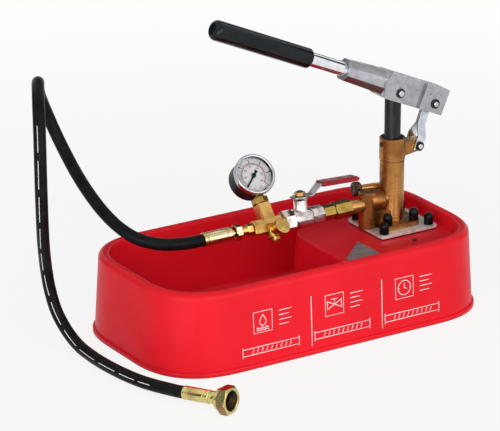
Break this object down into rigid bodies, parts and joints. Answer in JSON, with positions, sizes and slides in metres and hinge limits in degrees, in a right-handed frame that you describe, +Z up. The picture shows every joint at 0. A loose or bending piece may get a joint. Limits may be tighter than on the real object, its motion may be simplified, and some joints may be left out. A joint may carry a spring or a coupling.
{
  "type": "hydrostatic test pump",
  "caption": "Hand lever pump on a formed water tub, with a ball valve, a dial gauge and a release valve on its brass line, and a free hose with a union nut.",
  "frame": {"origin": "middle of the tub's footprint, on the floor", "axes": "+X runs along the tub from the basin to the pump, -Y is the side with the white panels, +Z is up"},
  "size_m": [0.4327, 0.3055, 0.3023],
  "materials": {
    "red_sheet": "glossy powder coat",
    "name_plate": "grey lacquer",
    "dark_steel": "blackened",
    "gasket_rubber": "matt",
    "zinc_plate": "bright zinc plate",
    "bronze": "machined bronze, satin",
    "brass": "machined, satin",
    "black_plastic": "glossy",
    "nickel": "satin nickel plate",
    "cast_aluminium": "cast, tumbled",
    "bright_steel": "bright plate",
    "chrome": "polished",
    "red_sleeve": "dipped vinyl",
    "dial_white": "printed white",
    "clear_lens": "clear",
    "hose_rubber": "smooth",
    "plated_brass": "thin yellow plate"
  },
  "bodies": {
    "tub": {"tub": "red_sheet", "nameplate": "name_plate", "deck_screw": "dark_steel", "base_gasket": "gasket_rubber", "base_plate": "zinc_plate", "plate_cap_1": "black_plastic", "plate_cap_2": "black_plastic", "plate_cap_3": "black_plastic", "plate_cap_4": "black_plastic", "foot_cap_1": "black_plastic", "foot_cap_2": "black_plastic", "foot_cap_3": "black_plastic", "foot_cap_4": "black_plastic", "pump_body": "bronze", "chamber_plug": "bronze", "cylinder_head": "bronze", "head_set_screw": "dark_steel", "rod_wiper": "gasket_rubber", "lug_pin": "bright_steel", "outlet_spigot": "bronze", "adapter_large": "brass", "adapter_small": "brass", "valve_body": "nickel", "valve_end": "nickel", "manifold_block": "brass", "gauge_socket": "brass", "gauge_case": "black_plastic", "gauge_dial": "dial_white", "gauge_bezel": "nickel", "gauge_lens": "clear_lens", "bourdon_tube": "brass", "release_bonnet": "brass", "hose_nipple": "brass", "hose_ferrule": "plated_brass", "hose": "hose_rubber", "hose_end_ferrule": "plated_brass", "suction_pipe": "gasket_rubber", "suction_strainer": "brass"},
    "rod": {"piston_rod": "dark_steel", "piston_seal": "gasket_rubber"},
    "handle": {"lever_head": "cast_aluminium", "handle_tube": "chrome", "handle_grip": "black_plastic", "rod_pin": "bright_steel", "link_stud_near": "bright_steel", "link_stud_far": "bright_steel"},
    "link": {"link_strap_near": "bright_steel", "link_strap_far": "bright_steel"},
    "valve_handle": {"valve_lever": "cast_aluminium", "lever_sleeve": "red_sleeve", "lever_nut": "brass", "valve_stem": "dark_steel", "valve_ball": "chrome"},
    "release_knob": {"release_knob": "brass"},
    "check_knob": {"check_knob": "dark_steel"},
    "pointer": {"gauge_pointer": "black_plastic"},
    "swivel_nut": {"swivel_nut": "plated_brass"},
    "hose_end_nut": {"hose_end_nut": "plated_brass"},
    "suction_ball": {"suction_ball": "bright_steel"},
    "delivery_ball": {"delivery_ball": "bright_steel"}
  },
  "joints": [
    {"name": "rod_slide", "type": "slide", "parent": "tub", "child": "rod", "axis": [0, 0, 1], "range_m": [-0.0194, 0.0202]},
    {"name": "lever_pivot", "type": "hinge", "parent": "rod", "child": "handle", "pos_m": [0.1203, 0, 0.2022], "axis": [0, 1, 0], "range_deg": [-25, 26]},
    {"name": "link_pivot", "type": "hinge", "parent": "tub", "child": "link", "pos_m": [0.1457, 0, 0.144], "axis": [0, 1, 0], "range_deg": [-12, 12]},
    {"name": "valve_stem_turn", "type": "hinge", "parent": "tub", "child": "valve_handle", "pos_m": [0.0181, 0, 0.0938], "axis": [0, 0.1392, 0.9903], "range_deg": [-90, 0]},
    {"name": "release_screw", "type": "hinge", "parent": "tub", "child": "release_knob", "pos_m": [-0.016, -0.00453, 0.0882], "axis": [0.1564, -0.7676, 0.6216], "range_deg": [0, 360]},
    {"name": "check_screw", "type": "hinge", "parent": "tub", "child": "check_knob", "pos_m": [0.1142, 0.0119, 0.1034], "axis": [-0.9781, 0.2079, 0], "range_deg": [0, 360]},
    {"name": "pointer_axis", "type": "hinge", "parent": "tub", "child": "pointer", "pos_m": [-0.0182, 0.03052, 0.13149], "axis": [0.0872, 0.7742, -0.6269], "range_deg": [0, 270], "stiffness_Nm_per_rad": 0.0005},
    {"name": "swivel", "type": "hinge", "parent": "tub", "child": "swivel_nut", "pos_m": [-0.0535, 0, 0.0938], "axis": [1, 0, 0], "continuous": true},
    {"name": "end_nut_turn", "type": "hinge", "parent": "tub", "child": "hose_end_nut", "pos_m": [-0.16933, -0.16411, 0.01217], "axis": [0.4104, -0.909, 0.0732], "continuous": true},
    {"name": "suction_lift", "type": "slide", "parent": "tub", "child": "suction_ball", "axis": [0, 0, 1], "range_m": [0, 0.0006]},
    {"name": "delivery_lift", "type": "slide", "parent": "tub", "child": "delivery_ball", "axis": [0, 0, 1], "range_m": [0, 0.0015]}
  ],
  "couplings": [
    {"joint": "rod_slide", "follows": "lever_pivot", "m_per_rad": 0.0443},
    {"joint": "link_pivot", "follows": "lever_pivot", "ratio": -0.423}
  ]
}
